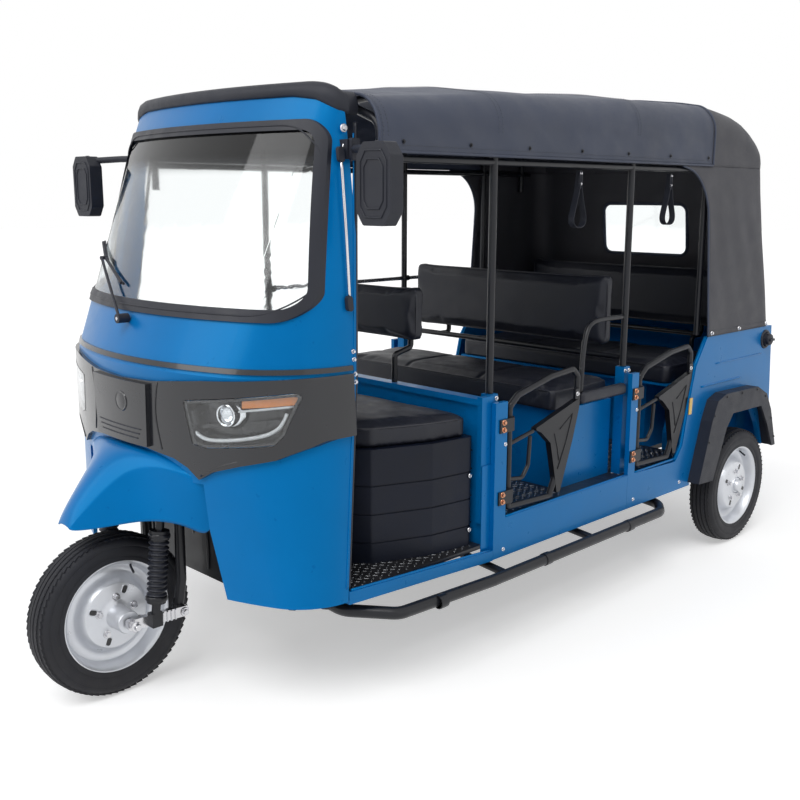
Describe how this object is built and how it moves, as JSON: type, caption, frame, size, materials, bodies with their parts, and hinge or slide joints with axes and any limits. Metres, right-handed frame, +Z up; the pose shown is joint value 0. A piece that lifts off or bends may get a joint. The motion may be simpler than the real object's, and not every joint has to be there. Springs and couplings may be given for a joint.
{
  "type": "auto rickshaw",
  "caption": "Three-wheeled passenger auto rickshaw with a closed nose, handlebar steering, soft canopy, open sides with swinging gates and rows of padded seats.",
  "frame": {"origin": "on the floor under the middle of the bounding box", "axes": "+Z up; the nose points to -Y and the tail to +Y; +X is the vehicle's left side"},
  "size_m": [1.636, 3.2699, 1.8797],
  "materials": {
    "body_paint": "gloss",
    "dark_paint": "satin",
    "navy_lining": "matte",
    "gloss_black": "gloss",
    "grey_plastic": "matte",
    "canopy_cloth": "matte",
    "seat_vinyl": "satin",
    "glass": "clear",
    "lens": "clear",
    "red_lens": "gloss",
    "floor_plate": "chequered",
    "bright_steel": "polished",
    "wheel_silver": "satin",
    "tyre": "matte",
    "cast_iron": "rough",
    "seal_rubber": "matte"
  },
  "bodies": {
    "vehicle_body": {"chassis_frame": "dark_paint", "floor_pan": "floor_plate", "front_cowl": "body_paint", "front_fascia": "gloss_black", "headlamps": "gloss_black", "headlamp_lenses": "lens", "windscreen_glass": "glass", "windscreen_gasket": "seal_rubber", "roof_visor": "canopy_cloth", "front_fender": "body_paint", "wiper": "grey_plastic", "mirrors": "grey_plastic", "firewall": "dark_paint", "dashboard": "navy_lining", "bulkhead": "body_paint", "side_panels": "body_paint", "rear_quarters": "body_paint", "arch_flares": "grey_plastic", "wheel_wells": "body_paint", "rear_panel": "body_paint", "tail_lamps": "red_lens", "rear_bumper": "dark_paint", "canopy_top": "canopy_cloth", "canopy_back": "canopy_cloth", "rear_window": "glass", "roof_frame": "dark_paint", "guard_rail_right": "bright_steel", "driver_seat_base": "navy_lining", "driver_cushion": "seat_vinyl", "driver_backrest": "seat_vinyl", "middle_seat_base": "body_paint", "middle_cushion": "seat_vinyl", "middle_backrest": "seat_vinyl", "rear_seat_base": "body_paint", "rear_cushion": "seat_vinyl", "rear_backrest": "seat_vinyl", "seat_frames": "dark_paint", "gate_hinges": "dark_paint", "arm_rest": "seat_vinyl", "grab_straps": "grey_plastic", "side_step": "dark_paint", "fuel_filler": "grey_plastic", "engine": "cast_iron", "drive_shaft": "dark_paint", "rear_axle": "cast_iron", "rear_suspension": "dark_paint", "exhaust": "dark_paint"},
    "steering": {"steering_fork": "dark_paint", "front_links": "bright_steel", "front_shocks": "dark_paint", "handlebar": "dark_paint"},
    "front_wheel": {"front_rim": "wheel_silver", "front_tyre": "tyre"},
    "rear_left_wheel": {"rear_left_rim": "wheel_silver", "rear_left_tyre": "tyre"},
    "rear_right_wheel": {"rear_right_rim": "wheel_silver", "rear_right_tyre": "tyre"},
    "middle_gate": {"middle_gate": "dark_paint"},
    "rear_gate": {"rear_gate": "dark_paint"}
  },
  "joints": [
    {"name": "steering_turn", "type": "hinge", "parent": "vehicle_body", "child": "steering", "pos_m": [0, -1.18202, 0.75], "axis": [0, 0.342, 0.9397], "range_deg": [-35, 35]},
    {"name": "front_wheel_spin", "type": "hinge", "parent": "steering", "child": "front_wheel", "pos_m": [0, -1.385, 0.25], "axis": [1, 0, 0], "continuous": true},
    {"name": "rear_left_wheel_spin", "type": "hinge", "parent": "vehicle_body", "child": "rear_left_wheel", "pos_m": [0.62, 1.245, 0.25], "axis": [1, 0, 0], "continuous": true},
    {"name": "rear_right_wheel_spin", "type": "hinge", "parent": "vehicle_body", "child": "rear_right_wheel", "pos_m": [-0.62, 1.245, 0.25], "axis": [1, 0, 0], "continuous": true},
    {"name": "middle_gate_swing", "type": "hinge", "parent": "vehicle_body", "child": "middle_gate", "pos_m": [0.622, -0.2775, 0.65], "axis": [0, 0, -1], "range_deg": [0, 90]},
    {"name": "rear_gate_swing", "type": "hinge", "parent": "vehicle_body", "child": "rear_gate", "pos_m": [0.622, 0.4885, 0.65], "axis": [0, 0, -1], "range_deg": [0, 90]}
  ]
}
